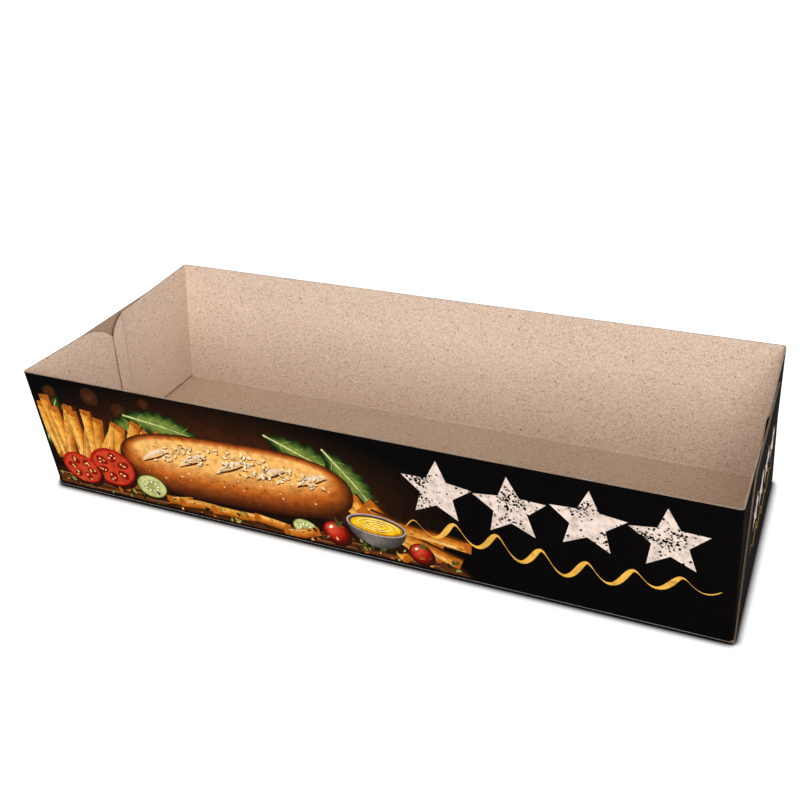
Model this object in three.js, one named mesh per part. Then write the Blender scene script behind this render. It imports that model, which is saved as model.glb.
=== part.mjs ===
import * as THREE from 'three';
import { mergeGeometries, mergeVertices } from 'three/addons/utils/BufferGeometryUtils.js';

// Hot dog box: an open tray folded from one blank of paperboard.
// Millimetres, +Z up, length along X, the tray stands on z = 0.

// Outside sizes: the length over the end panels, the width over the long walls
const RIM_LENGTH = 220;
const BASE_LENGTH = 219.5;
const RIM_WIDTH = 90;
const BASE_WIDTH = 79;
const HEIGHT = 45.5;

// Board and folds
const BOARD = 0.5;
const FOLD_INNER_RADIUS = 0.5;
const FOLD_STEPS = 6;
const MITRED_TURN = 70;
const GLUE_LINE = 0.1;

// End panel, folded up from the floor
const END_CORNER_GAP = 0.05;
const END_RIM_DROP = 1.5;
const END_RIM_WIDTH = 52;
const END_CORNER_RADIUS = 3;

// Flaps, folded in from the long walls behind the end panel
const FLAP_PAST_CENTRE = 2.5;
const FLAP_FLOOR_GAP = 0.2;
const FLAP_BOTTOM_TAPER = 0.5;
const FLAP_BOTTOM_RADIUS = 3;
const UNDER_FLAP_RADIUS = 20;
const UNDER_FLAP_DIP = 1.1;
const OVER_FLAP_RADIUS = 9;
const OVER_FLAP_DIP = 1.8;
const LAP_CLEARANCE = 0.7;
const LAP_RAMP = 1.8;
const ROUND_STEPS = 10;

const MERGE_TOLERANCE = 1e-4;

const endTop = HEIGHT - END_RIM_DROP;
const wallLean = Math.atan2((RIM_WIDTH - BASE_WIDTH) / 2, HEIGHT);
const endLean = Math.atan2((RIM_LENGTH - BASE_LENGTH) / 2, endTop);
const wallNormal = new THREE.Vector3(0, -Math.cos(wallLean), Math.sin(wallLean));
const endNormal = new THREE.Vector3(-Math.cos(endLean), 0, Math.sin(endLean));
const mitredTurn = THREE.MathUtils.degToRad(MITRED_TURN);
const foldRadius = BOARD + FOLD_INNER_RADIUS;
const layerDepth = BOARD + GLUE_LINE;

function between(a, b, share) {
  return a + (b - a) * share;
}

function wallFace(z) {
  return between(BASE_WIDTH, RIM_WIDTH, z / HEIGHT) / 2;
}

function endFace(z) {
  return between(BASE_LENGTH, RIM_LENGTH, z / endTop) / 2;
}

// The flaps lie one layer inside the end panel.
function flapFace(z) {
  return endFace(z) - layerDepth;
}

function wallEnd(z) {
  return flapFace(z) - foldRadius;
}

// The fold at the foot of a panel: distance from the middle, height and inward normal.
// Walls and ends turn alike up to the last station, so that their folds meet in a mitre.
function footFold(halfBase, lean) {
  const turn = Math.PI / 2 - lean;
  const axis = halfBase - foldRadius * Math.tan(turn / 2);
  const stations = [];
  for (let i = 0; i <= FOLD_STEPS; i++) {
    const angle = i < FOLD_STEPS ? mitredTurn * i / (FOLD_STEPS - 1) : turn;
    stations.push({
      out: axis + foldRadius * Math.sin(angle),
      z: foldRadius * (1 - Math.cos(angle)),
      inward: -Math.sin(angle),
      up: Math.cos(angle),
    });
  }
  return stations;
}

// A point of the sheet: its place on the outer face, and the inward normal there.
function point(x, y, z, normal) {
  return { outer: new THREE.Vector3(x, y, z), normal };
}

// Rows of points become quads of sheet; each vertex also carries its inner face point.
function sheet(rows, mirrorX, mirrorY) {
  const outer = [];
  const inner = [];
  const index = [];
  const mirror = new THREE.Vector3(mirrorX, mirrorY, 1);
  const flip = mirrorX * mirrorY < 0;
  for (const row of rows) {
    for (const { outer: place, normal } of row) {
      const inside = place.clone().addScaledVector(normal, BOARD);
      outer.push(...place.clone().multiply(mirror).toArray());
      inner.push(...inside.multiply(mirror).toArray());
    }
  }
  const columns = rows[0].length;
  for (let r = 0; r + 1 < rows.length; r++) {
    for (let c = 0; c + 1 < columns; c++) {
      const a = r * columns + c;
      const b = a + 1;
      const d = a + columns;
      const e = d + 1;
      index.push(...(flip ? [a, d, b, b, d, e] : [a, b, d, b, e, d]));
    }
  }
  const geometry = new THREE.BufferGeometry();
  geometry.setAttribute('position', new THREE.Float32BufferAttribute(outer, 3));
  geometry.setAttribute('inner', new THREE.Float32BufferAttribute(inner, 3));
  geometry.setIndex(index);
  return geometry;
}

const wallFold = footFold(BASE_WIDTH / 2, wallLean);
const endFold = footFold(BASE_LENGTH / 2, endLean);
const floorHalfWidth = wallFold[0].out;
const floorHalfLength = endFold[0].out;
const endHalfFoot = floorHalfWidth - END_CORNER_GAP;
const flapBottom = wallFold[FOLD_STEPS].z + FLAP_FLOOR_GAP;

function floorPanel() {
  const up = new THREE.Vector3(0, 0, 1);
  return [-floorHalfLength, floorHalfLength].map((x) => (
    [-floorHalfWidth, -endHalfFoot, endHalfFoot, floorHalfWidth].map((y) => point(x, y, 0, up))
  ));
}

// A long wall with its foot fold, from the floor to the rim.
function longWall() {
  const rows = wallFold.map(({ out, z, inward, up }, i) => (
    [1, -1].map((side) => {
      const mitre = new THREE.Vector3(side * endFold[i].inward, inward, up);
      return point(side * endFold[i].out, out, z, mitre);
    })
  ));
  for (const z of [flapBottom, HEIGHT]) {
    rows.push([wallEnd(z), -wallEnd(z)].map((x) => point(x, wallFace(z), z, wallNormal)));
  }
  return rows;
}

// An end panel with its foot fold: full width at the floor, narrower and lower at the rim.
function endPanel() {
  const halfWidth = (z) => between(BASE_WIDTH / 2, END_RIM_WIDTH / 2, z / endTop);
  const rows = endFold.map(({ out, z, inward, up }, i) => {
    const half = i < FOLD_STEPS ? wallFold[i].out - END_CORNER_GAP : halfWidth(z);
    return [-1, 1].map((side) => {
      const mitre = new THREE.Vector3(inward, side * wallFold[i].inward, up);
      return point(out, side * half, z, mitre);
    });
  });
  for (let i = 0; i <= ROUND_STEPS; i++) {
    const angle = Math.PI / 2 * i / ROUND_STEPS;
    const z = endTop - END_CORNER_RADIUS * (1 - Math.sin(angle));
    const half = halfWidth(z) - END_CORNER_RADIUS * (1 - Math.cos(angle));
    rows.push([-half, half].map((y) => point(endFace(z), y, z, endNormal)));
  }
  return rows;
}

// How far a rounded corner of this radius has dropped at this distance from the free edge.
function cornerDrop(radius, fromEdge) {
  const into = Math.max(0, radius - fromEdge);
  return radius - Math.sqrt(radius * radius - into * into);
}

function cornerStations(radius) {
  const stations = [];
  for (let i = 0; i <= ROUND_STEPS; i++) {
    stations.push(radius * (1 - Math.sin(Math.PI / 2 * i / ROUND_STEPS)));
  }
  return stations;
}

// A flap with its corner fold. The over flap ramps up onto the free edge of the under flap.
function flap(radius, dip, laps) {
  const rampTop = 2 * FLAP_PAST_CENTRE + LAP_CLEARANCE;
  const rampFoot = rampTop + LAP_RAMP;
  const columns = [];

  for (let i = 0; i <= FOLD_STEPS; i++) {
    const angle = Math.PI / 2 * i / FOLD_STEPS;
    const normal = wallNormal.clone().multiplyScalar(Math.cos(angle));
    normal.addScaledVector(endNormal, Math.sin(angle)).normalize();
    columns.push([flapBottom, HEIGHT].map((z) => point(
      wallEnd(z) + foldRadius * Math.sin(angle),
      wallFace(z) - foldRadius * (1 - Math.cos(angle)),
      z,
      normal,
    )));
  }

  const length = wallFace(HEIGHT) - foldRadius + FLAP_PAST_CENTRE;
  const fromEdges = [...cornerStations(radius), ...cornerStations(FLAP_BOTTOM_RADIUS)];
  if (laps) fromEdges.push(rampFoot, rampTop);
  const sorted = [...new Set(fromEdges)].sort((a, b) => b - a);
  for (const fromEdge of sorted) {
    const share = 1 - fromEdge / length;
    const climb = THREE.MathUtils.clamp((rampFoot - fromEdge) / LAP_RAMP, 0, 1);
    const lift = laps ? layerDepth * climb : 0;
    const run = Math.min(1, share / (1 - radius / length));
    const top = HEIGHT - dip * run - cornerDrop(radius, fromEdge);
    const bottom = flapBottom + FLAP_BOTTOM_TAPER * share
      + cornerDrop(FLAP_BOTTOM_RADIUS, fromEdge);
    columns.push([bottom, top].map((z) => point(
      flapFace(z) - lift,
      between(wallFace(z) - foldRadius, -FLAP_PAST_CENTRE, share),
      z,
      endNormal,
    )));
  }
  return columns;
}

// The edges that only one triangle uses, in the direction it uses them.
function openEdges(index) {
  const seen = new Map();
  for (let i = 0; i < index.length; i += 3) {
    for (let k = 0; k < 3; k++) {
      const from = index[i + k];
      const to = index[i + (k + 1) % 3];
      const back = `${to}_${from}`;
      if (seen.has(back)) seen.delete(back);
      else seen.set(`${from}_${to}`, [from, to]);
    }
  }
  return [...seen.values()];
}

// Outer face, inner face and the cut edge of the board all the way round.
function thicken(face) {
  const count = face.attributes.position.count;
  const faceIndex = [...face.index.array];
  const index = [...faceIndex];
  for (let i = 0; i < faceIndex.length; i += 3) {
    index.push(faceIndex[i] + count, faceIndex[i + 2] + count, faceIndex[i + 1] + count);
  }
  for (const [from, to] of openEdges(faceIndex)) {
    index.push(from, from + count, to, to, from + count, to + count);
  }
  const solid = new THREE.BufferGeometry();
  const places = [...face.attributes.position.array, ...face.attributes.inner.array];
  solid.setAttribute('position', new THREE.Float32BufferAttribute(places, 3));
  solid.setIndex(index);
  return solid;
}

const panels = [sheet(floorPanel(), 1, 1)];
for (const side of [-1, 1]) {
  panels.push(sheet(longWall(), 1, side));
  panels.push(sheet(endPanel(), side, 1));
  panels.push(sheet(flap(UNDER_FLAP_RADIUS, UNDER_FLAP_DIP, false), side, -1));
  panels.push(sheet(flap(OVER_FLAP_RADIUS, OVER_FLAP_DIP, true), side, 1));
}

const face = mergeVertices(mergeGeometries(panels), MERGE_TOLERANCE);
const geometry = thicken(face);
geometry.computeVertexNormals();

const tray = new THREE.Mesh(
  geometry,
  new THREE.MeshStandardMaterial({ color: 0xb08f6e, roughness: 0.9 }),
);
tray.name = 'tray';

const hotDogBox = new THREE.Group();
hotDogBox.name = 'hot_dog_box';
hotDogBox.add(tray);

export default hotDogBox;
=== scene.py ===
import math
import random

import bmesh
import bpy
from mathutils import Matrix, Vector
from mathutils.geometry import delaunay_2d_cdt


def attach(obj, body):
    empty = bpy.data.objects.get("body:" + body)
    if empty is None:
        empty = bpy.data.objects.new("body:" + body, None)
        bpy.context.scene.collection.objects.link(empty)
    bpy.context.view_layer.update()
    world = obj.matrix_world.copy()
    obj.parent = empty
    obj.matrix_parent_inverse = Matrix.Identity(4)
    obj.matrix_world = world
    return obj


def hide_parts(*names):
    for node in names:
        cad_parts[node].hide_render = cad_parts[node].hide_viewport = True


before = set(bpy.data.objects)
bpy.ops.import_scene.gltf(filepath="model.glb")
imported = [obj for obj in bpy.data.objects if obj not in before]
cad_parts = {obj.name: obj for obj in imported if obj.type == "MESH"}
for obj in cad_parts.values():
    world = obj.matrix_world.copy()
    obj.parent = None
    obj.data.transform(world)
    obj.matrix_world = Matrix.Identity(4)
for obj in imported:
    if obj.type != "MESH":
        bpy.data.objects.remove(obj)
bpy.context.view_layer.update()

# Sizes of the folded tray, in millimetres, as in the part's source
RIM_LENGTH = 220
BASE_LENGTH = 219.5
RIM_WIDTH = 90
BASE_WIDTH = 79
HEIGHT = 45.5
BOARD = 0.5
FOLD_INNER_RADIUS = 0.5
FOLD_STEPS = 6
MITRED_TURN = 70
GLUE_LINE = 0.1
END_CORNER_GAP = 0.05
END_RIM_DROP = 1.5
END_RIM_WIDTH = 52
END_CORNER_RADIUS = 3
FLAP_PAST_CENTRE = 2.5
FLAP_FLOOR_GAP = 0.2
FLAP_BOTTOM_TAPER = 0.5
FLAP_BOTTOM_RADIUS = 3
UNDER_FLAP_RADIUS = 20
UNDER_FLAP_DIP = 1.1
OVER_FLAP_RADIUS = 9
OVER_FLAP_DIP = 1.8
LAP_CLEARANCE = 0.7
LAP_RAMP = 1.8
ROUND_STEPS = 10

# Values that follow from the sizes
FOLD_RADIUS = BOARD + FOLD_INNER_RADIUS
LAYER = BOARD + GLUE_LINE
END_TOP = HEIGHT - END_RIM_DROP
WALL_LEAN = math.atan2((RIM_WIDTH - BASE_WIDTH) / 2, HEIGHT)
END_LEAN = math.atan2((RIM_LENGTH - BASE_LENGTH) / 2, END_TOP)
WALL_NORMAL = Vector((0, -math.cos(WALL_LEAN), math.sin(WALL_LEAN)))
END_NORMAL = Vector((-math.cos(END_LEAN), 0, math.sin(END_LEAN)))

MM = 0.001
# Points that agree to this many decimals of a millimetre are one vertex.
PLACE_DIGITS = 4
# The print ends this far inside the edges of its panel.
PRINT_MARGIN = 0.5
# How the panels are cut: into triangles inside the outlines, merging points this close
CUT_INSIDE = 1
CUT_TOLERANCE = 1e-5

# Material slots of the sheet
KRAFT, EDGE, PRINT = range(3)

# Tones that darken the bare board and its cut edges, panel by panel: the floor's and the end panels'
# lining tones and the end panels' cut tone are painted shade, and the cut tone darkens every other cut
# edge. All colours are sRGB, 0 to 255.
FULL_TONE = (255, 255, 255)
CUT_TONE = (200, 191, 182)
FLOOR_LINING_PAINTED_SHADE = (249, 245, 238)
END_LINING_PAINTED_SHADE = (206, 196, 187)
END_CUT_PAINTED_SHADE = (140, 131, 122)

# Inks of the print
BLACK = (6, 5, 5)
# Light grey of the bottom crease: partly worn ink, partly a painted highlight of the fold catching
# light
CREASE_WEAR_AND_HIGHLIGHT = (176, 171, 166)
CREAM = (226, 206, 193)
GOLD_INK = (232, 176, 74)
FRY_LIGHT = (246, 190, 88)
FRY = (226, 142, 42)
FRY_DARK = (150, 70, 16)
CRUST_DARK = (58, 24, 10)
CRUST_MIDDLE = (180, 90, 28)
CRUST_LIGHT = (238, 180, 100)
CRUMB = (246, 218, 162)
SESAME = (252, 232, 190)
RED = (168, 30, 18)
RED_DARK = (70, 10, 8)
RED_LIGHT = (206, 74, 42)
SEED = (250, 214, 130)
YELLOW = (246, 190, 30)
YELLOW_LIGHT = (255, 230, 130)
AMBER = (192, 122, 12)
LEAF = (66, 88, 34)
LEAF_DARK = (22, 34, 14)
LEAF_LIGHT = (138, 152, 70)
PALE_GREEN = (196, 198, 132)
WOOD = (88, 46, 22)
WOOD_DARK = (40, 20, 10)
WOOD_LIGHT = (150, 94, 50)
GLAZE = (66, 60, 58)
GLAZE_LIGHT = (168, 160, 152)
GLOW = (58, 28, 12)
LAMP_GLOW = (204, 148, 98)
SHINE = (255, 246, 232)


def srgb_to_linear(colour):
    channels = [c / 255 for c in colour]
    return [c / 12.92 if c <= 0.04045 else ((c + 0.055) / 1.055) ** 2.4 for c in channels]


# The print, in flat shapes: each is an outline in millimetres with its ink
def turned(points, angle, cx, cy):
    c, s = math.cos(angle), math.sin(angle)
    return [(cx + x * c - y * s, cy + x * s + y * c) for x, y in points]


def disc(cx, cy, rx, ry=None, tilt=0.0, n=30):
    ry = rx if ry is None else ry
    ring = [
        (rx * math.cos(2 * math.pi * i / n), ry * math.sin(2 * math.pi * i / n))
        for i in range(n)
    ]
    return turned(ring, tilt, cx, cy)


def turned_point(x, y, angle, cx, cy):
    return turned([(x, y)], angle, cx, cy)[0]


RIPPLES = ((3, 0.5), (5, 0.35), (9, 0.3))


def wobbly(cx, cy, rx, ry, rng, rough, n, tilt=0.0):
    """An uneven ellipse: each ripple goes round it so many times, with its own strength."""
    phases = [rng.uniform(0, 2 * math.pi) for _ in RIPPLES]
    points = []
    for i in range(n):
        a = 2 * math.pi * i / n
        ripple = 0.0
        for (times_round, strength), phase in zip(RIPPLES, phases):
            ripple += strength * math.sin(times_round * a + phase)
        r = 1 + rough * ripple
        points.append((rx * r * math.cos(a), ry * r * math.sin(a)))
    return turned(points, tilt, cx, cy)


def clip_side(points, inside, cross):
    """Keeps the points on one side of a line, and adds those where the outline crosses it."""
    kept = []
    for i, b in enumerate(points):
        a = points[i - 1]
        if inside(b):
            if not inside(a):
                kept.append(cross(a, b))
            kept.append(b)
        elif inside(a):
            kept.append(cross(a, b))
    return kept


def clip_to(points, x0, y0, x1, y1):
    """The part of an outline inside a rectangle."""
    def at_x(x):
        return lambda a, b: (x, a[1] + (b[1] - a[1]) * (x - a[0]) / (b[0] - a[0]))

    def at_y(y):
        return lambda a, b: (a[0] + (b[0] - a[0]) * (y - a[1]) / (b[1] - a[1]), y)

    points = clip_side(points, lambda p: p[0] >= x0, at_x(x0))
    points = clip_side(points, lambda p: p[0] <= x1, at_x(x1))
    points = clip_side(points, lambda p: p[1] >= y0, at_y(y0))
    return clip_side(points, lambda p: p[1] <= y1, at_y(y1))


def anticlockwise(points):
    twice_area = sum(a[0] * b[1] - b[0] * a[1] for a, b in zip(points, points[1:] + points[:1]))
    return points if twice_area > 0 else points[::-1]


def ribbon(path, widths, colour):
    """A line of changing width, as one quad for each stretch and a disc at each joint."""
    shapes = []
    for (ax, ay), (bx, by), wide_a, wide_b in zip(path, path[1:], widths, widths[1:]):
        length = math.hypot(bx - ax, by - ay)
        nx, ny = -(by - ay) / length, (bx - ax) / length
        wa, wb = wide_a / 2, wide_b / 2
        quad = [
            (ax + nx * wa, ay + ny * wa),
            (ax - nx * wa, ay - ny * wa),
            (bx - nx * wb, by - ny * wb),
            (bx + nx * wb, by + ny * wb),
        ]
        shapes += [(quad, colour), (disc(bx, by, wb, n=8), colour)]
    return shapes


def mix(a, b, share):
    return tuple(x + (y - x) * share for x, y in zip(a, b))


STAR_POINTS = 5


def star(cx, cy, radius, tilt, inner=0.46):
    """Points out to the radius, with notches between them in to a share of it."""
    points = []
    for i in range(2 * STAR_POINTS):
        r = radius if i % 2 == 0 else radius * inner
        a = tilt + math.pi / 2 + math.pi * i / STAR_POINTS
        points.append((cx + r * math.cos(a), cy + r * math.sin(a)))
    return points


def inside_polygon(x, y, polygon):
    hit = False
    for i, (bx, by) in enumerate(polygon):
        ax, ay = polygon[i - 1]
        if (ay > y) != (by > y) and x < (bx - ax) * (y - ay) / (by - ay) + ax:
            hit = not hit
    return hit


# Wear of a star: patches of missing ink, by shares of its radius, and specks in millimetres
WORN_PATCHES = 3
PATCH_OFFSET = 0.6
PATCH_SPREAD = 0.16
PATCH_SHARE = 0.7
SPECK_SIZE = (0.16, 0.5)
SPECK_FLATNESS = (0.4, 1)


def worn_star(cx, cy, radius, tilt, rng, specks):
    """A cream star with specks of its ink missing, thicker in patches."""
    outline = star(cx, cy, radius, tilt)
    shapes = [(outline, CREAM)]
    patches = []
    for _ in range(WORN_PATCHES):
        patches.append([rng.uniform(-PATCH_OFFSET, PATCH_OFFSET) * radius for _ in range(2)])
    for _ in range(specks):
        if rng.random() < PATCH_SHARE:
            px, py = patches[rng.randrange(WORN_PATCHES)]
            x = cx + px + rng.gauss(0, PATCH_SPREAD) * radius
            y = cy + py + rng.gauss(0, PATCH_SPREAD) * radius
        else:
            x, y = cx + rng.uniform(-1, 1) * radius, cy + rng.uniform(-1, 1) * radius
        if inside_polygon(x, y, outline):
            size = rng.uniform(*SPECK_SIZE)
            flat = size * rng.uniform(*SPECK_FLATNESS)
            speck = wobbly(x, y, size, flat, rng, rough=0.35, n=6, tilt=rng.uniform(0, 3.1))
            shapes.append((speck, BLACK))
    return shapes


def band(path, widths, colour):
    """A smooth line of changing width, as one outline."""
    left, right = [], []
    for i, (x, y) in enumerate(path):
        (ax, ay), (bx, by) = path[max(i - 1, 0)], path[min(i + 1, len(path) - 1)]
        length = math.hypot(bx - ax, by - ay)
        nx, ny = -(by - ay) / length * widths[i] / 2, (bx - ax) / length * widths[i] / 2
        left.append((x + nx, y + ny))
        right.append((x - nx, y - ny))
    return [(left + right[::-1], colour)]


WAVE_STEPS = 30


def wave(x0, x1, y, height, turns, width):
    """A gold line that waves, thick and thin, and thins out at both ends."""
    steps = turns * WAVE_STEPS
    path, widths = [], []
    for i in range(steps + 1):
        t = i / steps
        swell = 0.5 + 0.5 * math.sin(math.pi * (0.15 + 0.85 * t))
        phase = 2 * math.pi * turns * t
        rise = height * swell * math.sin(phase) + 0.5 * height * math.sin(2.6 * math.pi * t)
        path.append((x0 + (x1 - x0) * t + 0.16 * height * math.cos(phase), y + rise))
        taper = min(1.0, 6 * t + 0.15, 6 * (1 - t) + 0.15)
        widths.append(width * taper * (0.55 + 0.45 * math.cos(phase)))
    return band(path, widths, GOLD_INK)


# How much a form's outline has shrunk where its tone is lightest
CORE_SHRINK = 0.62


def shades(outline, dark, middle, light, steps, shift_x, shift_y):
    """One form as nested outlines from its dark rim to its lit side."""
    shapes = []
    for i in range(steps):
        t = i / (steps - 1)
        tone = mix(dark, middle, 2 * t) if t < 0.5 else mix(middle, light, 2 * t - 1)
        shapes.append((outline(1 - CORE_SHRINK * t, shift_x * t, shift_y * t), tone))
    return shapes


def layers(cx, cy, radius, squash, tilt, rings):
    """Discs on each other, each from its shift, its share of the radius and its tone."""
    return [
        (disc(cx + dx, cy + dy, radius * share, radius * share * squash, tilt), tone)
        for dx, dy, share, tone in rings
    ]


FRY_STRIPS = 6
FRY_SPOTS = 5


def fry(cx, cy, length, width, angle, rng):
    """A potato stick with a lit top face, a shaded side, browned ends and brown spots."""
    half, w = length / 2, width / 2
    bend = rng.uniform(-0.8, 0.8)
    brown = rng.uniform(0, 0.55)
    rim = [(-half - 0.1, -w - 0.9), (-half - 0.1, w + 0.1), (0, w + bend + 0.1)]
    rim += [(half + 0.1, w + 0.1), (half + 0.1, -w - 0.9), (0, bend - w - 0.9)]
    shapes = [(turned(rim, angle, cx, cy), mix(FRY_DARK, BLACK, 0.6))]
    for i in range(FRY_STRIPS):
        low, high = width * i / FRY_STRIPS - w, width * (i + 1) / FRY_STRIPS - w
        strip = [(-half, low), (-half, high), (0, high + bend), (half, high)]
        strip += [(half, low), (0, low + bend)]
        lit = (i / (FRY_STRIPS - 1)) ** 0.8
        tone = mix(FRY_DARK, FRY, min(1.0, 0.2 + 1.4 * lit))
        tone = mix(tone, FRY_LIGHT, max(0.0, lit - 0.35) * 1.3)
        shapes.append((turned(strip, angle, cx, cy), mix(tone, FRY_DARK, brown * 0.6)))
    for end in (-1, 1):
        tip = [(end * (half - 1.8), -w), (end * (half - 2.4), bend * 0.1), (end * (half - 1.5), w)]
        tip += [(end * half, w), (end * half, -w)]
        shapes.append((turned(tip, angle, cx, cy), mix(FRY_DARK, FRY, 0.35)))
    glint = [(-half * 0.6, 0.45 * w), (half * 0.4, 0.5 * w + bend * 0.5), (-half * 0.6, 0.7 * w)]
    shapes.append((turned(glint, angle, cx, cy), mix(FRY_LIGHT, SHINE, 0.45)))
    for _ in range(FRY_SPOTS):
        along, across = rng.uniform(-0.85, 0.85) * half, rng.uniform(-0.6, 0.8) * w
        x, y = turned_point(along, across, angle, cx, cy)
        spot = wobbly(x, y, rng.uniform(0.25, 0.9), rng.uniform(0.15, 0.35), rng, 0.3, 7, angle)
        shapes.append((spot, mix(FRY_DARK, FRY, rng.uniform(0.1, 0.7))))
    return shapes


def fry_heap(count, first_x, step, jitter, turn, turn_step, turn_spread, y, rises, lengths, width, rng):
    """Potato sticks side by side, each turned a little further; the turns are in degrees."""
    shapes = []
    for k in range(count):
        x = first_x + k * step + rng.uniform(-jitter, jitter)
        angle = math.radians(turn + k * turn_step + rng.uniform(-turn_spread, turn_spread))
        shapes += fry(x, y + rng.uniform(*rises), rng.uniform(*lengths), width, angle, rng)
    return shapes


TOMATO_CHAMBERS = 6
SEEDS_PER_CHAMBER = 3


def tomato_slice(cx, cy, radius, squash, tilt, rng):
    rings = (
        (0.8, -1.0, 1, WOOD_DARK),
        (0, 0, 1, RED_DARK),
        (-0.15, 0.25, 0.97, RED),
        (0, 0, 0.86, mix(RED, RED_LIGHT, 0.75)),
    )
    shapes = layers(cx, cy, radius, squash, tilt, rings)
    for k in range(TOMATO_CHAMBERS):
        a = 2 * math.pi * k / TOMATO_CHAMBERS + 0.2
        mx, my = 0.52 * radius * math.cos(a), 0.52 * radius * math.sin(a)
        round_pocket = disc(mx, my, 0.27 * radius, 0.19 * radius, a, 14)
        pocket = [(x, y * squash) for x, y in round_pocket]
        shapes.append((turned(pocket, tilt, cx, cy), mix(RED, RED_DARK, 0.35)))
        for _ in range(SEEDS_PER_CHAMBER):
            seed_x = mx + rng.uniform(-0.13, 0.13) * radius
            seed_y = (my + rng.uniform(-0.13, 0.13) * radius) * squash
            x, y = turned_point(seed_x, seed_y, tilt, cx, cy)
            shapes.append((disc(x, y, 0.45, 0.28, rng.uniform(0, 3), 8), SEED))
    return shapes


def cherry_tomato(cx, cy, radius, rng):
    def outline(scale, x, y):
        return disc(cx + x, cy + y, radius * scale, n=24)

    shapes = [(disc(cx + 0.5, cy - 0.7, radius), WOOD_DARK)]
    shapes += shades(outline, RED_DARK, RED, RED_LIGHT, 8, -0.28 * radius, 0.3 * radius)
    glint = disc(cx - 0.35 * radius, cy + 0.42 * radius, 0.17 * radius, 0.1 * radius, 0.7)
    calyx = star(cx + 0.2 * radius, cy + 0.78 * radius, 0.5 * radius, rng.uniform(0, 1), 0.3)
    return shapes + [(glint, SHINE), (calyx, LEAF)]


CUCUMBER_SEEDS = 9


def cucumber_slice(cx, cy, radius, squash, tilt):
    rings = (
        (0.6, -0.8, 1, WOOD_DARK),
        (0, 0, 1, LEAF_DARK),
        (0, 0, 0.93, LEAF_LIGHT),
        (0, 0, 0.86, PALE_GREEN),
        (0, 0, 0.55, mix(LEAF_LIGHT, PALE_GREEN, 0.4)),
    )
    shapes = layers(cx, cy, radius, squash, tilt, rings)
    for k in range(CUCUMBER_SEEDS):
        a = 2 * math.pi * k / CUCUMBER_SEEDS
        seed_x, seed_y = 0.4 * radius * math.cos(a), 0.4 * radius * math.sin(a) * squash
        x, y = turned_point(seed_x, seed_y, tilt, cx, cy)
        shapes.append((disc(x, y, 0.55, 0.25, a + tilt, 8), SHINE))
    return shapes


LEAF_EDGE_STEPS = 30
LEAF_VEINS = 5


def leaf(cx, cy, length, width, angle):
    """A frilled leaf with a pale rib and side veins."""
    def outline(scale, x, y):
        edge = []
        for side in (1, -1):
            for i in range(LEAF_EDGE_STEPS):
                t = (i + 0.5) / LEAF_EDGE_STEPS
                t = t if side == 1 else 1 - t
                frill = 1 + 0.13 * math.sin(t * 40 + side)
                across = side * width / 2 * math.sin(math.pi * t) ** 0.8 * frill
                edge.append((length * (t - 0.5) * (0.4 + 0.6 * scale), across * scale))
        return turned(edge, angle, cx + x, cy + y)

    shapes = shades(outline, LEAF_DARK, LEAF, mix(LEAF, LEAF_LIGHT, 0.6), 5, -0.4, 0.5)
    rib = turned([(-length / 2, 0), (0, 0.4), (length * 0.42, 0)], angle, cx, cy)
    shapes += band(rib, [0.7, 0.5, 0.2], PALE_GREEN)
    for i in range(LEAF_VEINS):
        t = -0.32 + 0.14 * i
        for side in (1, -1):
            vein = [(length * t, 0), (length * (t + 0.1), side * width * 0.3)]
            shapes += band(turned(vein, angle, cx, cy), [0.35, 0.12], LEAF_LIGHT)
    return shapes


LOAF_EDGE_STEPS = 60
LOAF_SHADES = 14
SLASHES = 5
SLASH_STEPS = 24
# What is drawn in a slash: its tone, its width and how far it is moved
SLASH_LAYERS = ((CRUST_DARK, 1.0, -0.5), (CRUMB, 0.82, 0), (SHINE, 0.3, 0.5))
SESAME_SEEDS = 90
CRUST_FLECKS = 150


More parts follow.
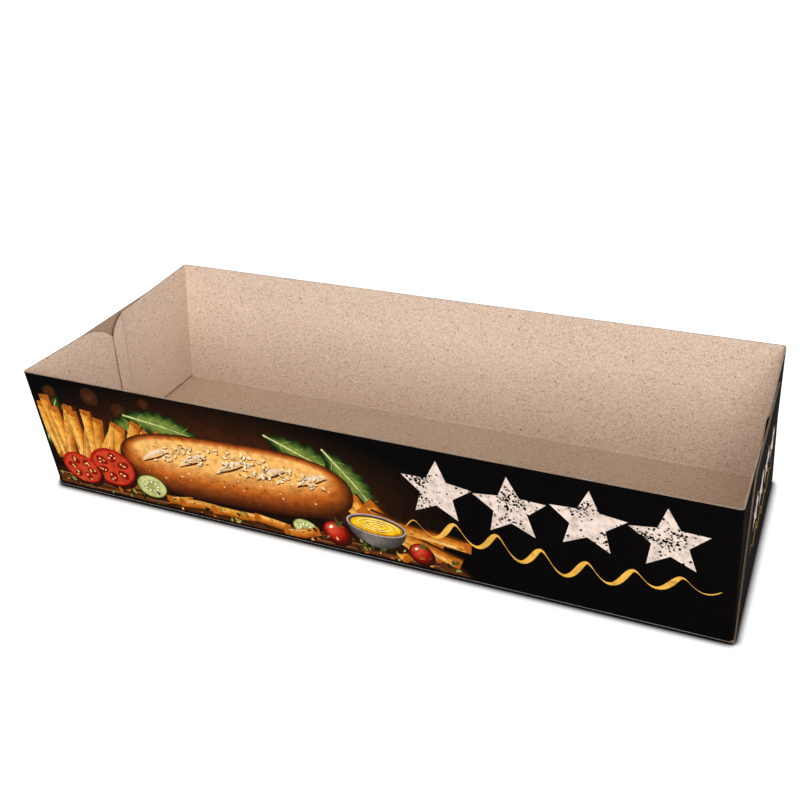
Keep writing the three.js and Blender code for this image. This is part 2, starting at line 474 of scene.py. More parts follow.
def loaf(cx, cy, length, height, angle, rng):
    """A crusty roll from the side, with slashes that opened in the oven and seeds on its top."""
    def outline(scale, x, y):
        points = []
        for i in range(LOAF_EDGE_STEPS):
            a = 2 * math.pi * i / LOAF_EDGE_STEPS
            c, s = math.cos(a), math.sin(a)
            along = math.copysign(abs(c) ** 0.6, c) * (length / 2 - height / 2 * (1 - scale))
            across = math.copysign(abs(s) ** 0.86, s) * height / 2 * scale
            points.append((along + x, across + y))
        return turned(points, angle, cx, cy)

    crust = (CRUST_DARK, CRUST_MIDDLE, CRUST_LIGHT)
    shapes = shades(outline, *crust, LOAF_SHADES, -0.5, height * 0.2)
    for k in range(SLASHES):
        x = (k - (SLASHES - 1) / 2) / SLASHES * length * 0.84
        for tone, wide, drop in SLASH_LAYERS:
            lens, widths = [], []
            for i in range(SLASH_STEPS + 1):
                t = i / SLASH_STEPS
                lens.append((x - 5 + 11 * t, -2.6 + 9.5 * t - 4.5 * t * t + drop))
                widths.append(0.15 + 3.1 * wide * math.sin(math.pi * i / SLASH_STEPS))
            path = turned(lens, angle, cx, cy + height * 0.1)
            shapes += band(path, widths, mix(tone, CRUST_MIDDLE, 0.25))
    for _ in range(SESAME_SEEDS):
        a, r = rng.uniform(0.1, math.pi - 0.1), math.sqrt(rng.random()) * 0.8
        x, y = length / 2 * r * math.cos(a), height / 2 * (r * math.sin(a) - 0.05)
        x, y = turned_point(x, y, angle, cx, cy)
        tilt = rng.uniform(0, math.pi)
        shapes.append((disc(x + 0.12, y - 0.25, 0.95, 0.5, tilt, 10), CRUST_DARK))
        tone = mix(SESAME, CRUST_LIGHT, rng.random() * 0.5)
        shapes.append((disc(x, y, 0.85, 0.42, tilt, 10), tone))
    for _ in range(CRUST_FLECKS):
        a, r = rng.uniform(0, 2 * math.pi), math.sqrt(rng.random()) * 0.84
        x, y = length / 2 * r * math.cos(a), height / 2 * r * math.sin(a)
        place = turned_point(x, y, angle, cx, cy)
        fleck = wobbly(*place, rng.uniform(0.15, 0.6), rng.uniform(0.12, 0.35), rng, 0.3, 7)
        if rng.random() < 0.35 + 0.5 * y / height:
            tone = mix(CRUST_LIGHT, SHINE, rng.uniform(0.2, 0.8))
        else:
            tone = mix(CRUST_DARK, CRUST_MIDDLE, 0.5)
        shapes.append((fleck, tone))
    return shapes


BOWL_WALL_STEPS = 20
BOWL_SHADES = 5
SWIRL_POINTS = 46
SWIRL_TURN = 0.42


def dip_bowl(cx, cy, radius):
    """A small glazed bowl of yellow sauce with a swirl."""
    wall = []
    for i in range(BOWL_WALL_STEPS + 1):
        a = math.pi + math.pi * i / BOWL_WALL_STEPS
        wall.append((cx + radius * math.cos(a), cy + radius * 0.9 * math.sin(a)))
    shapes = [(disc(cx + 0.8, cy - radius * 0.72, radius * 0.95, radius * 0.3), WOOD_DARK)]
    shapes.append((wall, GLAZE))
    for i in range(BOWL_SHADES):
        t = (i + 1) / (BOWL_SHADES + 1)
        strip = []
        for x, y in wall:
            strip.append((x - (x - cx) * t * 0.8 - radius * 0.3 * t, cy + (y - cy) * (1 - 0.12 * t)))
        shapes.append((strip, mix(GLAZE, GLAZE_LIGHT, t * 0.6)))
    shapes += [
        (disc(cx, cy, radius, radius * 0.42), GLAZE_LIGHT),
        (disc(cx, cy, radius * 0.94, radius * 0.37), GLAZE),
        (disc(cx, cy - 0.3, radius * 0.88, radius * 0.33), AMBER),
        (disc(cx - 0.2, cy - 0.1, radius * 0.83, radius * 0.29), YELLOW),
    ]
    swirl = []
    for i in range(SWIRL_POINTS):
        a = SWIRL_TURN * i
        r = radius * 0.72 * (1 - i / 50)
        swirl.append((cx + r * math.cos(a), cy + r * 0.36 * math.sin(a)))
    shapes += ribbon([(x, y - 0.25) for x, y in swirl], [0.5] * SWIRL_POINTS, AMBER)
    shapes += ribbon(swirl, [0.4] * SWIRL_POINTS, YELLOW_LIGHT)
    return shapes


GRAIN_LINES = 9
BOARD_SLANT = 9
BOARD_LIP = 2.4


def table_board(x0, x1, top):
    """The wooden board under the food, with its grain and its lit front edge."""
    slant = x1 - BOARD_SLANT
    lip = top - BOARD_LIP
    shapes = [([(x0, 0), (x1, 0), (slant, top), (x0, top)], WOOD_DARK)]
    shapes.append(([(x0, 0), (x1 - 1, 0), (slant, lip), (x0, lip)], WOOD))
    for k in range(GRAIN_LINES):
        y = 0.8 + k * (top - 2.5) / GRAIN_LINES
        path = [(x, y + 0.35 * math.sin(x * 0.07 + 1.7 * k)) for x in range(x0, x1 - 8, 4)]
        widths = [0.3 + 0.18 * math.sin(i * 0.9 + k) for i in range(len(path))]
        shapes += band(path, widths, WOOD_DARK if k % 3 else WOOD_LIGHT)
    lit = [(x, top - 2.3 + 0.1 * math.sin(x * 0.3)) for x in range(x0, x1 - 8, 3)]
    return shapes + band(lit, [0.45] * len(lit), WOOD_LIGHT)


GLOW_STEPS = 10
SOFT_LIGHTS = 6
SOFT_LIGHT_RINGS = 6


def backdrop(rng):
    """A brown glow on the black, with a few soft round lights in it."""
    shapes = []
    for i in range(GLOW_STEPS):
        t = i / (GLOW_STEPS - 1)
        shapes.append((disc(-44, 20, 84 - 40 * t, 30 - 14 * t, n=48), mix(BLACK, GLOW, t)))
    for _ in range(SOFT_LIGHTS):
        x, y, r = rng.uniform(-108, -6), rng.uniform(36, 43), rng.uniform(1.2, 2.6)
        for i in range(SOFT_LIGHT_RINGS):
            t = i / (SOFT_LIGHT_RINGS - 1)
            shapes.append((disc(x, y, r * (1.3 - t)), mix(GLOW, LAMP_GLOW, 0.01 + 0.12 * t * t)))
    return shapes


# Leaves, each by its middle, its turn in degrees, its length and its width
LEAVES = (
    (-104, 27, 64, 26, 9),
    (-71, 31, 28, 30, 12),
    (-60, 34, -8, 28, 11),
    (-10, 33, -24, 30, 11),
    (3, 28, -52, 26, 10),
)
LYING_FRIES = 6
CRUMBS = 70
CRUMB_TONES = [LEAF, LEAF_LIGHT, LEAF_DARK, CRUST_LIGHT, CRUST_MIDDLE]


def food_design(seed):
    """A still life in the left part of a long wall: sticks, slices, a roll, leaves and a bowl."""
    rng = random.Random(seed)
    shapes = backdrop(rng)
    shapes += table_board(x0=-112, x1=40, top=8.5)
    for cx, cy, angle, length, width in LEAVES:
        shapes += leaf(cx, cy, length, width, math.radians(angle))
    shapes += fry_heap(
        count=17, first_x=-105, step=2.3, jitter=1, turn=100, turn_step=-3.4, turn_spread=12,
        y=19, rises=(-3, 5), lengths=(22, 31), width=3.9, rng=rng,
    )
    shapes += fry_heap(
        count=9, first_x=6, step=2.6, jitter=1, turn=128, turn_step=5, turn_spread=10,
        y=12.5, rises=(-3, 3), lengths=(16, 24), width=3.7, rng=rng,
    )
    shapes.append((disc(-38, 9.2, 42, 4.2, n=40), mix(WOOD_DARK, BLACK, 0.5)))
    shapes += loaf(-38, 21, length=82, height=25, angle=math.radians(3), rng=rng)
    shapes += tomato_slice(-84, 13, radius=9, squash=0.86, tilt=0.2, rng=rng)
    shapes += tomato_slice(-97, 9.8, radius=7.6, squash=0.8, tilt=-0.3, rng=rng)
    shapes += cucumber_slice(-70, 8.6, radius=6, squash=0.8, tilt=0.1)
    shapes += dip_bowl(9, 13.5, radius=9.5)
    shapes += cherry_tomato(-4.5, 7.2, radius=4.6, rng=rng)
    shapes += cherry_tomato(22.5, 6.4, radius=3.9, rng=rng)
    shapes += cucumber_slice(-15, 6.2, radius=4.6, squash=0.74, tilt=-0.2)
    for k in range(LYING_FRIES):
        angle = math.radians(rng.uniform(-22, 22))
        x, y = -62 + 9.5 * k + rng.uniform(-3, 3), 4.4 + rng.uniform(-1, 1.2)
        shapes += fry(x, y, rng.uniform(10, 16), 3.2, angle, rng)
    for _ in range(CRUMBS):
        x, y = rng.uniform(-108, 34), 1.8 + 4.6 * rng.random() ** 1.4
        size = rng.uniform(0.4, 1.3)
        crumb = wobbly(x, y, size, size * 0.5, rng, 0.25, 8, rng.uniform(0, 3))
        shapes.append((crumb, rng.choice(CRUMB_TONES)))
    return shapes


# Each star of a row by its tilt in radians and, on the walls, its lift
STARS = ((-0.06, 0.3), (0.05, -0.4), (-0.04, 0.4), (0.06, -0.2))
WALL_STAR_X = 29.2
WALL_STAR_Y = 31.0
WALL_STAR_STEP = 21
END_STAR_Y = 27.5
END_STAR_STEP = 11.8


def wall_print(seed):
    shapes = food_design(seed)
    rng = random.Random(seed + 1)
    for k, (tilt, lift) in enumerate(STARS):
        x = WALL_STAR_X + k * WALL_STAR_STEP
        shapes += worn_star(x, WALL_STAR_Y + lift, radius=10.8, tilt=tilt, rng=rng, specks=190)
    return shapes + wave(x0=18, x1=105, y=15.8, height=3.4, turns=7, width=1.7)


def end_print(seed):
    rng = random.Random(seed)
    shapes = []
    for k, (tilt, _) in enumerate(STARS):
        x = (k - (len(STARS) - 1) / 2) * END_STAR_STEP
        shapes += worn_star(x, END_STAR_Y, radius=6.0, tilt=tilt, rng=rng, specks=70)
    return shapes + wave(x0=-24, x1=24, y=16.5, height=2.2, turns=5, width=1.1)


# The folded sheet
def between(a, b, share):
    return a + (b - a) * share


def wall_face(z):
    return between(BASE_WIDTH, RIM_WIDTH, z / HEIGHT) / 2


def end_face(z):
    return between(BASE_LENGTH, RIM_LENGTH, z / END_TOP) / 2


def flap_face(z):
    return end_face(z) - LAYER


def wall_end(z):
    return flap_face(z) - FOLD_RADIUS


def foot_fold(half_base, lean):
    """Stations round a fold: distance from the middle, height, and the normal's parts in and up."""
    turn = math.pi / 2 - lean
    axis = half_base - FOLD_RADIUS * math.tan(turn / 2)
    stations = []
    for i in range(FOLD_STEPS + 1):
        a = math.radians(MITRED_TURN) * i / (FOLD_STEPS - 1) if i < FOLD_STEPS else turn
        across, up = math.sin(a), math.cos(a)
        stations.append((axis + FOLD_RADIUS * across, FOLD_RADIUS * (1 - up), across, up))
    return stations


WALL_FOLD = foot_fold(BASE_WIDTH / 2, WALL_LEAN)
END_FOLD = foot_fold(BASE_LENGTH / 2, END_LEAN)
FLOOR_HALF_WIDTH = WALL_FOLD[0][0]
FLOOR_HALF_LENGTH = END_FOLD[0][0]
END_HALF_FOOT = FLOOR_HALF_WIDTH - END_CORNER_GAP
FLAP_BOTTOM = WALL_FOLD[FOLD_STEPS][1] + FLAP_FLOOR_GAP

# The sheet as it grows: its vertices by place, its faces with their slot and colour, and the outer
# edges that so far belong to one face only, which become the cut edges of the board
places = {}
vertices = []
faces = []
looks = []
face_edges = {}


def vertex(p):
    key = (round(p[0], PLACE_DIGITS), round(p[1], PLACE_DIGITS), round(p[2], PLACE_DIGITS))
    if key not in places:
        places[key] = len(vertices)
        vertices.append((p[0] * MM, p[1] * MM, p[2] * MM))
    return places[key]


def add_face(points, slot, colour):
    ids = [vertex(p) for p in points]
    clean = [v for i, v in enumerate(ids) if v != ids[i - 1]]
    if len(set(clean)) >= 3:
        faces.append(clean)
        looks.append((slot, colour))


def printed_face(corners, place, shapes):
    """Cuts the flat panel with these corners along the shapes; each piece takes the top shape's ink."""
    x0 = max(corners[0][0], corners[3][0]) + PRINT_MARGIN
    x1 = min(corners[1][0], corners[2][0]) - PRINT_MARGIN
    y0, y1 = corners[0][1] + PRINT_MARGIN, corners[2][1] - PRINT_MARGIN
    points = [Vector(c) for c in corners]
    rings = [[0, 1, 2, 3]]
    inks = [BLACK]
    for polygon, colour in shapes:
        cut = clip_to(polygon, x0, y0, x1, y1)
        if len(cut) >= 3:
            rings.append(list(range(len(points), len(points) + len(cut))))
            points += [Vector(p) for p in anticlockwise(cut)]
            inks.append(colour)
    flat, _, pieces, _, _, origins = delaunay_2d_cdt(points, [], rings, CUT_INSIDE, CUT_TOLERANCE)
    for piece, origin in zip(pieces, origins):
        if 0 in origin:
            add_face([place(flat[i].x, flat[i].y) for i in piece], PRINT, inks[max(origin)])


def sheet(rows, mirror_x, mirror_y, printed=None, worn_highlit_rows=(), lining_shade=FULL_TONE, cut_tone_and_shade=CUT_TONE):
    """Rows of (outer point, inward normal) become outer print, inner kraft and, later, cut edges."""
    def put(p):
        return (p[0] * mirror_x, p[1] * mirror_y, p[2])

    outer = [[put(p) for p, _ in row] for row in rows]
    inner = [[put(Vector(p) + n * BOARD) for p, n in row] for row in rows]
    for r in range(len(rows) - 1):
        for c in range(len(rows[0]) - 1):
            ring = [(r, c), (r, c + 1), (r + 1, c + 1), (r + 1, c)]
            add_face([inner[i][j] for i, j in ring], KRAFT, lining_shade)
            if printed and r == printed[0]:
                printed_face(*printed[1:])
            else:
                # The crease rows take the light grey that is partly worn ink and partly a painted
                # highlight
                ink = CREASE_WEAR_AND_HIGHLIGHT if r in worn_highlit_rows else BLACK
                add_face([outer[i][j] for i, j in ring], PRINT, ink)
            for a, b in zip(ring, ring[1:] + ring[:1]):
                ends = (outer[a[0]][a[1]], outer[b[0]][b[1]])
                key = frozenset(vertex(p) for p in ends)
                inside = (inner[a[0]][a[1]], inner[b[0]][b[1]])
                if key in face_edges:
                    del face_edges[key]
                else:
                    face_edges[key] = (ends, inside, cut_tone_and_shade)


def floor_panel():
    up = Vector((0, 0, 1))
    columns = (-FLOOR_HALF_WIDTH, -END_HALF_FOOT, END_HALF_FOOT, FLOOR_HALF_WIDTH)
    return [[((x, y, 0), up) for y in columns] for x in (-FLOOR_HALF_LENGTH, FLOOR_HALF_LENGTH)]


def long_wall():
    rows = []
    for (out, z, across, up), (end_out, _, end_across, _) in zip(WALL_FOLD, END_FOLD):
        mitres = [(s, Vector((-s * end_across, -across, up))) for s in (1, -1)]
        rows.append([((s * end_out, out, z), mitre) for s, mitre in mitres])
    for z in (FLAP_BOTTOM, HEIGHT):
        reach = wall_end(z)
        rows.append([((x, wall_face(z), z), WALL_NORMAL) for x in (reach, -reach)])
    return rows


def end_half_width(z):
    return between(BASE_WIDTH / 2, END_RIM_WIDTH / 2, z / END_TOP)


def end_panel():
    rows = []
    for i, (out, z, across, up) in enumerate(END_FOLD):
        wall_out, _, wall_across, _ = WALL_FOLD[i]
        half = wall_out - END_CORNER_GAP if i < FOLD_STEPS else end_half_width(z)
        mitres = [(s, Vector((-across, -s * wall_across, up))) for s in (-1, 1)]
        rows.append([((out, s * half, z), mitre) for s, mitre in mitres])
    for i in range(ROUND_STEPS + 1):
        a = math.pi / 2 * i / ROUND_STEPS
        z = END_TOP - END_CORNER_RADIUS * (1 - math.sin(a))
        half = end_half_width(z) - END_CORNER_RADIUS * (1 - math.cos(a))
        rows.append([((end_face(z), y, z), END_NORMAL) for y in (-half, half)])
    return rows


def corner_drop(radius, from_edge):
    into = max(0.0, radius - from_edge)
    return radius - math.sqrt(radius * radius - into * into)


def corner_stations(radius):
    return [radius * (1 - math.sin(math.pi / 2 * i / ROUND_STEPS)) for i in range(ROUND_STEPS + 1)]


def flap(radius, dip, laps):
    ramp_top = 2 * FLAP_PAST_CENTRE + LAP_CLEARANCE
    ramp_foot = ramp_top + LAP_RAMP
    columns = []
    for i in range(FOLD_STEPS + 1):
        a = math.pi / 2 * i / FOLD_STEPS
        normal = (WALL_NORMAL * math.cos(a) + END_NORMAL * math.sin(a)).normalized()
        column = []
        for z in (FLAP_BOTTOM, HEIGHT):
            x = wall_end(z) + FOLD_RADIUS * math.sin(a)
            y = wall_face(z) - FOLD_RADIUS * (1 - math.cos(a))
            column.append(((x, y, z), normal))
        columns.append(column)
    length = wall_face(HEIGHT) - FOLD_RADIUS + FLAP_PAST_CENTRE
    from_edges = corner_stations(radius) + corner_stations(FLAP_BOTTOM_RADIUS)
    if laps:
        from_edges += [ramp_foot, ramp_top]
    for from_edge in sorted(set(from_edges), reverse=True):
        share = 1 - from_edge / length
        climb = min(1.0, max(0.0, (ramp_foot - from_edge) / LAP_RAMP))
        lift = LAYER * climb if laps else 0.0
        run = min(1.0, share / (1 - radius / length))
        top = HEIGHT - dip * run - corner_drop(radius, from_edge)
        bottom = FLAP_BOTTOM + FLAP_BOTTOM_TAPER * share + corner_drop(FLAP_BOTTOM_RADIUS, from_edge)
        column = []
        for z in (bottom, top):
            y = between(wall_face(z) - FOLD_RADIUS, -FLAP_PAST_CENTRE, share)
            column.append(((flap_face(z) - lift, y, z), END_NORMAL))
        columns.append(column)
    return columns


def wall_corners():
    low, high = wall_end(FLAP_BOTTOM), wall_end(HEIGHT)
    return [(-low, FLAP_BOTTOM), (low, FLAP_BOTTOM), (high, HEIGHT), (-high, HEIGHT)]


def end_corners():
    z0, z1 = END_FOLD[FOLD_STEPS][1], END_TOP - END_CORNER_RADIUS
    low, high = end_half_width(z0), end_half_width(z1)
    return [(-low, z0), (low, z0), (high, z1), (-high, z1)]


def wall_place(side):
    """Seen from outside, the near wall's left is -X and the far wall's left is +X."""
    return lambda u, v: (-side * u, side * wall_face(v), v)


def end_place(side):
    return lambda u, v: (side * end_face(v), side * u, v)


# The crease rows in light grey, partly bare board where the worn crease lost its ink and partly a
# painted highlight of the fold catching light, and the rows that carry the print
WORN_HIGHLIT_CREASE_ROWS = (3, 4)
WALL_PRINT_ROW = FOLD_STEPS + 1
END_PRINT_ROW = FOLD_STEPS
WALL_PRINT_SEED = 7
END_PRINT_SEED = 21

# The floor's lining is darkened as painted shade
sheet(floor_panel(), 1, 1, lining_shade=FLOOR_LINING_PAINTED_SHADE)
for side in (-1, 1):
    wall_design = (WALL_PRINT_ROW, wall_corners(), wall_place(side), wall_print(WALL_PRINT_SEED))
    end_design = (END_PRINT_ROW, end_corners(), end_place(side), end_print(END_PRINT_SEED))
    sheet(long_wall(), 1, side, wall_design, WORN_HIGHLIT_CREASE_ROWS)
    # The end panels' lining and cut edges are darkened as painted shade
    sheet(end_panel(), side, 1, end_design, WORN_HIGHLIT_CREASE_ROWS, END_LINING_PAINTED_SHADE, END_CUT_PAINTED_SHADE)
    sheet(flap(UNDER_FLAP_RADIUS, UNDER_FLAP_DIP, False), side, -1)
    sheet(flap(OVER_FLAP_RADIUS, OVER_FLAP_DIP, True), side, 1)

# Each cut edge keeps its panel's tone, which on the end panels is painted shade
for ends, inside, tone in face_edges.values():
    add_face([ends[0], ends[1], inside[1], inside[0]], EDGE, tone)

mesh = bpy.data.meshes.new("tray_sheet")
mesh.from_pydata(vertices, [], faces)
# The face colours: print inks and, on the bare board and cut edges, tones that are partly painted
# shade; the crease's light grey is partly a painted highlight
ink = mesh.attributes.new("ink", "FLOAT_COLOR", "CORNER")
colours = []
for polygon, (slot, colour) in zip(mesh.polygons, looks):
    polygon.material_index = slot
    colours += (srgb_to_linear(colour) + [1.0]) * polygon.loop_total
ink.data.foreach_set("color", colours)
shaper = bmesh.new()
shaper.from_mesh(mesh)
bmesh.ops.recalc_face_normals(shaper, faces=shaper.faces)
shaper.to_mesh(mesh)
shaper.free()
tray = bpy.data.objects.new("printed_tray", mesh)
bpy.context.scene.collection.objects.link(tray)


# Materials
def material(name):
    made = bpy.data.materials.new(name)
    made.use_nodes = True
    tree = made.node_tree
    return made, tree, tree.nodes["Principled BSDF"]


def node(tree, kind, **values):
    made = tree.nodes.new(kind)
    for name, value in values.items():
        setattr(made, name, value)
    return made


def fill(tree, socket, value):
    """Links a socket, or sets a plain value on it."""
    if isinstance(value, bpy.types.NodeSocket):
        tree.links.new(value, socket)
    else:
        socket.default_value = value


def object_coords(tree):
    return node(tree, "ShaderNodeTexCoord").outputs["Object"]


def ramp(tree, value, low, high, to_low=0.0, to_high=1.0):
    """Carries the range from low to high over to another one, and stops at its ends."""
    made = node(tree, "ShaderNodeMapRange")
    made.inputs["From Min"].default_value = low
    made.inputs["From Max"].default_value = high
    made.inputs["To Min"].default_value = to_low
    made.inputs["To Max"].default_value = to_high
    tree.links.new(value, made.inputs["Value"])
    return made.outputs["Result"]


def noise(tree, coords, scale, detail, rough, low, high):
    """A field of noise whose values from low to high become 0 to 1."""
    made = node(tree, "ShaderNodeTexNoise")
    made.inputs["Scale"].default_value = scale
    made.inputs["Detail"].default_value = detail
    made.inputs["Roughness"].default_value = rough
    tree.links.new(coords, made.inputs["Vector"])
    return ramp(tree, made.outputs["Fac"], low, high)


# The Mix node's sockets for colours
MIX_A, MIX_B, MIX_RESULT = 6, 7, 2


def mix_colour(tree, share, a, b, mode="MIX"):
    made = node(tree, "ShaderNodeMix", data_type="RGBA", blend_type=mode)
    fill(tree, made.inputs["Factor"], share)
    for index, value in ((MIX_A, a), (MIX_B, b)):
        colour = (*srgb_to_linear(value), 1) if isinstance(value, tuple) else value
        fill(tree, made.inputs[index], colour)
    return made.outputs[MIX_RESULT]


def calculated(tree, operation, a, b):
    made = node(tree, "ShaderNodeMath", operation=operation)
    fill(tree, made.inputs[0], a)
    fill(tree, made.inputs[1], b)
    return made.outputs[0]


def times(tree, a, b):
    return calculated(tree, "MULTIPLY", a, b)


def laid_over(tree, colour, mask, strength, tone):
    """The colour with a tone over it, as strong as the mask times the strength."""
    return mix_colour(tree, times(tree, mask, strength), colour, tone)


def stretched(tree, coords, scale, turn):
    made = node(tree, "ShaderNodeMapping")
    made.inputs["Scale"].default_value = scale
    made.inputs["Rotation"].default_value = turn
    tree.links.new(coords, made.inputs["Vector"])
    return made.outputs["Vector"]


def bump(tree, shader, height, strength, distance):
    made = node(tree, "ShaderNodeBump")
    made.inputs["Strength"].default_value = strength
    made.inputs["Distance"].default_value = distance
    tree.links.new(height, made.inputs["Height"])
    tree.links.new(made.outputs["Normal"], shader.inputs["Normal"])


def ink_and_painted_light(tree):
    """The colour stored on each face: the print's inks, the crease rows' light grey that is partly a
    painted highlight, and the tones of the bare board and its cut edges, partly painted shade.
    """
    stored = node(tree, "ShaderNodeAttribute", attribute_name="ink", attribute_type="GEOMETRY")
    return stored.outputs["Color"]


def toned(tree, colour):
    """The colour, darkened by the tone stored on each face, which on the floor lining, the end panels'
    lining and their cut edges is painted shade.
    """
    return mix_colour(tree, 1.0, colour, ink_and_painted_light(tree), "MULTIPLY")


KRAFT_BASE = (213, 188, 167)
KRAFT_LIGHT = (237, 218, 201)
KRAFT_DARK = (156, 129, 106)
KRAFT_SPECK = (98, 72, 54)
CLOUDS = dict(scale=38, detail=2, rough=0.5, low=0.35, high=0.65)
CLOUD_STRENGTH = 0.14
MOTTLE = dict(scale=1500, detail=3, rough=0.7, low=0.38, high=0.62)
MOTTLE_STRENGTH = 0.62
GRAIN = dict(scale=2300, detail=2, rough=0.6, low=0.5, high=0.66)
GRAIN_STRENGTH = 0.62
FIBRE = dict(scale=1, detail=1, rough=0.5, low=0.62, high=0.7)
FIBRE_STRETCH = (700, 1900, 1900)
# Fibres by their turn, their strength and their tone
FIBRES = ((0.5, 0.3, KRAFT_DARK), (2.2, 0.4, KRAFT_LIGHT), (1.2, 0.3, KRAFT_DARK))
# Specks by the scale of their cells, their reach and their strength
SPECKS = ((420, 0.16, 0.5), (190, 0.075, 0.8))
KRAFT_ROUGHNESS = 0.9
KRAFT_SPECULAR = 0.25
KRAFT_BUMP = dict(strength=0.25, distance=0.00008)


def kraft_board():
    """Recycled board: clouds, fine mottling, short pale and dark fibres and a few dark specks."""
    made, tree, shader = material("kraft_board")
    coords = object_coords(tree)
    clouds = noise(tree, coords, **CLOUDS)
    colour = laid_over(tree, KRAFT_BASE, clouds, CLOUD_STRENGTH, KRAFT_LIGHT)
    mottle = noise(tree, coords, **MOTTLE)
    colour = laid_over(tree, colour, mottle, MOTTLE_STRENGTH, KRAFT_LIGHT)
    grain = noise(tree, coords, **GRAIN)
    colour = laid_over(tree, colour, grain, GRAIN_STRENGTH, KRAFT_DARK)
    for turn, strength, tone in FIBRES:
        lines = stretched(tree, coords, FIBRE_STRETCH, (turn, turn * 0.6, turn))
        colour = laid_over(tree, colour, noise(tree, lines, **FIBRE), strength, tone)
    for scale, reach, strength in SPECKS:
        speck = node(tree, "ShaderNodeTexVoronoi", feature="F1")
        speck.inputs["Scale"].default_value = scale
        tree.links.new(coords, speck.inputs["Vector"])
        spots = ramp(tree, speck.outputs["Distance"], reach, reach / 2)
        colour = laid_over(tree, colour, spots, strength, KRAFT_SPECK)
    # The stored tone paints shade on the floor lining and on the end panels' lining
    tree.links.new(toned(tree, colour), shader.inputs["Base Color"])
    shader.inputs["Roughness"].default_value = KRAFT_ROUGHNESS
    shader.inputs["Specular IOR Level"].default_value = KRAFT_SPECULAR
    bump(tree, shader, mottle, **KRAFT_BUMP)
    return made


PLY_DARK = (188, 168, 150)
PLY_LIGHT = (216, 198, 182)
PLIES = dict(scale=1, detail=2, rough=0.5, low=0.3, high=0.7)
PLY_STRETCH = (300, 300, 2500)
EDGE_ROUGHNESS = 0.95
EDGE_SPECULAR = 0.2


def cut_board_edge():
    """The cut edge of the board, with its plies."""
    made, tree, shader = material("cut_board_edge")
    lines = stretched(tree, object_coords(tree), PLY_STRETCH, (0, 0, 0))
    colour = mix_colour(tree, noise(tree, lines, **PLIES), PLY_DARK, PLY_LIGHT)
    # The stored tone darkens the cut edges; on the end panels it is painted shade
    tree.links.new(toned(tree, colour), shader.inputs["Base Color"])
    shader.inputs["Roughness"].default_value = EDGE_ROUGHNESS
    shader.inputs["Specular IOR Level"].default_value = EDGE_SPECULAR
    return made


INK_PATCHES = dict(scale=420, detail=4, rough=0.65, low=0.42, high=0.68)
PATCH_STRENGTH = 0.42
FILM = dict(scale=900, detail=3, rough=0.6, low=0.3, high=0.7)
FILM_TONE = (34, 30, 28)
FILM_STRENGTH = 0.03
PRINT_ROUGHNESS = (0.8, 0.95)
PRINT_SPECULAR = 0.01
PRINT_BUMP = dict(strength=0.12, distance=0.00005)


def printed_board():
    """The printed side: each face's ink, with the crease rows' light grey partly a painted highlight,
    uneven in patches under a thin matt film.
    """
    made, tree, shader = material("printed_board")
    coords = object_coords(tree)
    film = noise(tree, coords, **FILM)
    patches = noise(tree, coords, **INK_PATCHES)
    uneven = laid_over(tree, ink_and_painted_light(tree), patches, PATCH_STRENGTH, BLACK)
    worn = laid_over(tree, uneven, film, FILM_STRENGTH, FILM_TONE)
    tree.links.new(worn, shader.inputs["Base Color"])
    tree.links.new(ramp(tree, film, 0, 1, *PRINT_ROUGHNESS), shader.inputs["Roughness"])
    shader.inputs["Specular IOR Level"].default_value = PRINT_SPECULAR
    bump(tree, shader, film, **PRINT_BUMP)
    return made


for made in (kraft_board(), cut_board_edge(), printed_board()):
    mesh.materials.append(made)

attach(tray, "root")
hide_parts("tray")


# Floor, light and camera
def seen_directly(tree):
    """1 for rays that show a background: from the camera, off gloss and through glass."""
    path = node(tree, "ShaderNodeLightPath").outputs
    seen = calculated(tree, "MAXIMUM", path["Is Camera Ray"], path["Is Glossy Ray"])
    return calculated(tree, "MAXIMUM", seen, path["Is Transmission Ray"])


# In metres: the floor's size, how far it lies below the tray, how far from the tray's middle it
# begins to fade into the white background and where it has gone, and the reach of the contact shadow
FLOOR_SIZE = 6.0
FLOOR_DROP = 0.0001
OPEN_FLOOR_START, OPEN_FLOOR_END = 0.16, 0.34
CONTACT_REACH = 0.0026
# How much open sky a point of the floor has at the dark and the light end of the contact shadow
CONTACT_RANGE = (0.5, 0.97)
# The floor's own light for the camera, and its colours under the tray's edge, where the darker one is a
# painted contact shadow, and in the open
FLOOR_LIFT = 0.5
FLOOR_PAINTED_CONTACT_SHADOW = (24, 23, 22)
FLOOR_OPEN = (243, 243, 243)


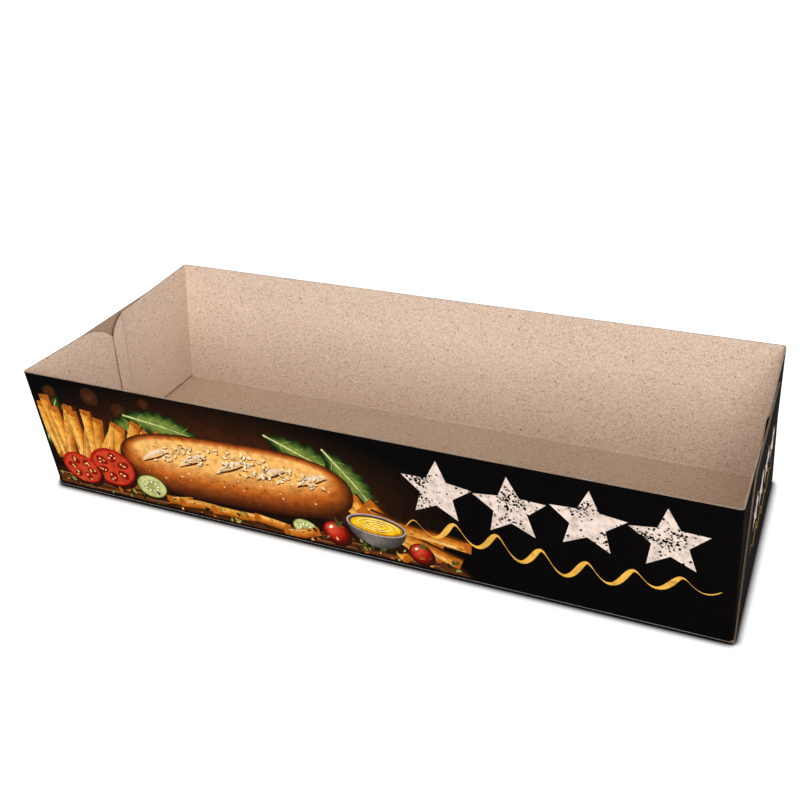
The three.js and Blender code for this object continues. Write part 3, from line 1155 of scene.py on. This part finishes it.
def white_floor():
    """Takes the tray's shadows near it, with a painted contact shadow darkening its colour and its own
    light under the tray's edge, and is plain white to the camera further away.
    """
    made, tree, shader = material("white_floor")
    shader.inputs["Roughness"].default_value = 1.0
    shader.inputs["Specular IOR Level"].default_value = 0.0
    contact = node(tree, "ShaderNodeAmbientOcclusion", samples=16)
    contact.inputs["Distance"].default_value = CONTACT_REACH
    open_sky = ramp(tree, contact.outputs["AO"], *CONTACT_RANGE)
    # The colour darkens where the tray closes off the sky: a painted contact shadow
    shaded = mix_colour(tree, open_sky, FLOOR_PAINTED_CONTACT_SHADOW, FLOOR_OPEN)
    tree.links.new(shaded, shader.inputs["Base Color"])
    lift = node(tree, "ShaderNodeEmission")
    # The camera-only light is cut by the same occlusion, which paints the contact shadow into it too
    lift_level = times(tree, seen_directly(tree), times(tree, open_sky, FLOOR_LIFT))
    tree.links.new(lift_level, lift.inputs["Strength"])
    lifted = node(tree, "ShaderNodeAddShader")
    tree.links.new(shader.outputs[0], lifted.inputs[0])
    tree.links.new(lift.outputs[0], lifted.inputs[1])
    distance = node(tree, "ShaderNodeVectorMath", operation="LENGTH")
    tree.links.new(object_coords(tree), distance.inputs[0])
    away = ramp(tree, distance.outputs["Value"], OPEN_FLOOR_START, OPEN_FLOOR_END)
    plain = node(tree, "ShaderNodeEmission")
    faded = node(tree, "ShaderNodeMixShader")
    tree.links.new(times(tree, seen_directly(tree), away), faded.inputs["Fac"])
    tree.links.new(lifted.outputs[0], faded.inputs[1])
    tree.links.new(plain.outputs[0], faded.inputs[2])
    tree.links.new(faded.outputs[0], tree.nodes["Material Output"].inputs["Surface"])
    return made


floor_mesh = bpy.data.meshes.new("floor")
half = FLOOR_SIZE / 2
floor_corners = [(-half, -half, 0), (half, -half, 0), (half, half, 0), (-half, half, 0)]
floor_mesh.from_pydata(floor_corners, [], [(0, 1, 2, 3)])
floor_mesh.materials.append(white_floor())
floor = bpy.data.objects.new("floor", floor_mesh)
floor.location.z = -FLOOR_DROP
bpy.context.scene.collection.objects.link(floor)

WORLD_LIGHT = 0.37
world = bpy.data.worlds.new("studio")
bpy.context.scene.world = world
world.use_nodes = True
tree = world.node_tree
background = tree.nodes["Background"]
level = ramp(tree, seen_directly(tree), 0, 1, WORLD_LIGHT, 1)
tree.links.new(level, background.inputs["Strength"])
background.inputs["Color"].default_value = (1, 1, 1, 1)

# Lamps by their place in metres and their power in watts
LAMP_SIZE = 0.7
LAMP_TARGET = Vector((0, 0, 0.02))
LAMPS = (
    ("key_lamp", (0.205, -1.16, 0.569), 13.7),
    ("side_lamp", (1.261, 0.0, 0.335), 6.4),
    ("back_lamp", (-0.42, 1.15, 0.42), 7),
)
for name, place, watts in LAMPS:
    data = bpy.data.lights.new(name, "AREA")
    data.shape = "SQUARE"
    data.size = LAMP_SIZE
    data.energy = watts
    lamp = bpy.data.objects.new(name, data)
    lamp.location = place
    lamp.rotation_mode = "QUATERNION"
    lamp.rotation_quaternion = (LAMP_TARGET - Vector(place)).to_track_quat("-Z", "Y")
    bpy.context.scene.collection.objects.link(lamp)

# The camera fitted to the photograph, with its focal length and image centre in pixels
CAMERA_AZIMUTH = math.radians(24.907)
CAMERA_ELEVATION = math.radians(24.576)
CAMERA_ROLL = math.radians(-3.146)
CAMERA_PLACE = Vector((0.12841, -0.27094, 0.203))
FOCAL_PIXELS = 1093.98
IMAGE_SIZE = 800
CENTRE_X = 403.64
CENTRE_Y = 298.48
SENSOR_WIDTH = 36
CLIP_START, CLIP_END = 0.01, 20

forward = Vector(
    (
        -math.sin(CAMERA_AZIMUTH) * math.cos(CAMERA_ELEVATION),
        math.cos(CAMERA_AZIMUTH) * math.cos(CAMERA_ELEVATION),
        -math.sin(CAMERA_ELEVATION),
    )
)
level_right = Vector((math.cos(CAMERA_AZIMUTH), math.sin(CAMERA_AZIMUTH), 0))
level_up = level_right.cross(forward)
right = math.cos(CAMERA_ROLL) * level_right + math.sin(CAMERA_ROLL) * level_up
up = math.cos(CAMERA_ROLL) * level_up - math.sin(CAMERA_ROLL) * level_right
camera_data = bpy.data.cameras.new("camera")
camera = bpy.data.objects.new("camera", camera_data)
camera.matrix_world = Matrix(
    (
        (right.x, up.x, -forward.x, CAMERA_PLACE.x),
        (right.y, up.y, -forward.y, CAMERA_PLACE.y),
        (right.z, up.z, -forward.z, CAMERA_PLACE.z),
        (0, 0, 0, 1),
    )
)
camera_data.sensor_width = SENSOR_WIDTH
camera_data.lens = FOCAL_PIXELS * SENSOR_WIDTH / IMAGE_SIZE
camera_data.shift_x = (IMAGE_SIZE / 2 - CENTRE_X) / IMAGE_SIZE
camera_data.shift_y = (CENTRE_Y - IMAGE_SIZE / 2) / IMAGE_SIZE
camera_data.clip_start = CLIP_START
camera_data.clip_end = CLIP_END
bpy.context.scene.collection.objects.link(camera)
bpy.context.scene.camera = camera

bpy.context.scene.view_settings.view_transform = "Standard"
